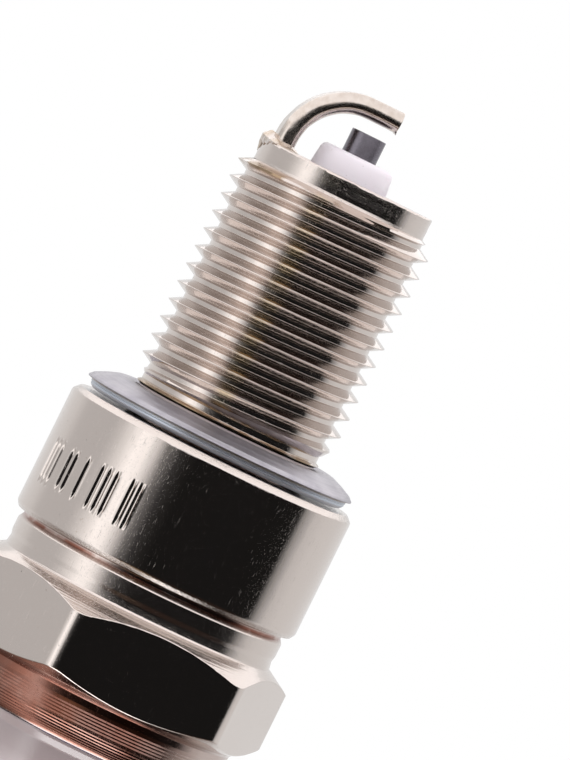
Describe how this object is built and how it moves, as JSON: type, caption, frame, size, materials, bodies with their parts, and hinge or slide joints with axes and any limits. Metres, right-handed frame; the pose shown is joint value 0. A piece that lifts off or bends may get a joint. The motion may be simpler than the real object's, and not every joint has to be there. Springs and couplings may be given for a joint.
{
  "type": "spark plug",
  "caption": "Small threaded ignition plug with a bent ground electrode, captive gasket, wrench hexagon, ribbed ceramic insulator and screw-on terminal nut.",
  "frame": {"origin": "on the plug's axis at the gasket's sealing face", "axes": "+Z along the plug's axis from the firing end towards the terminal; the ground electrode's foot is on the +X side"},
  "size_m": [0.0228, 0.0212, 0.0738],
  "materials": {
    "nickel_plate": "bright nickel plate over turned steel",
    "nickel_alloy_strap": "bare nickel alloy, drawn strip, slightly grained",
    "weld_metal": "pressed-out weld metal under plate",
    "nickel_alloy_core": "dark nickel alloy, drawn and cropped",
    "copper": "copper, sealed inside",
    "glazed_alumina": "white alumina ceramic, glazed outside the shell and matt at the nose; stands in for ceramic",
    "conductive_glass": "dark conductive glass, sealed inside",
    "resistor_glass": "dark resistor compound, sealed inside",
    "stud_steel": "nickel-plated steel with a rolled thread",
    "terminal_plate": "bright nickel plate",
    "zinc_plate": "bluish zinc plate on folded sheet steel",
    "packing_steel": "bare steel, sealed inside",
    "talc": "pressed talc powder, sealed inside"
  },
  "bodies": {
    "plug": {"shell": "nickel_plate", "ground_electrode": "nickel_alloy_strap", "weld_flash": "weld_metal", "centre_electrode": "nickel_alloy_core", "centre_electrode_core": "copper", "insulator": "glazed_alumina", "lower_glass_seal": "conductive_glass", "resistor": "resistor_glass", "upper_glass_seal": "conductive_glass", "terminal_stud": "stud_steel", "inner_seat_washer": "packing_steel", "lower_packing_ring": "packing_steel", "talc_packing": "talc", "upper_packing_ring": "packing_steel"},
    "gasket": {"gasket": "zinc_plate"},
    "terminal_nut": {"terminal_nut": "terminal_plate"}
  },
  "joints": [
    {"name": "gasket_spin", "type": "hinge", "parent": "plug", "child": "gasket", "pos_m": [0, 0, 0], "axis": [0, 0, 1], "continuous": true},
    {"name": "nut_unscrew", "type": "slide", "parent": "plug", "child": "terminal_nut", "axis": [0, 0, 1], "range_m": [0, 0.009]}
  ]
}
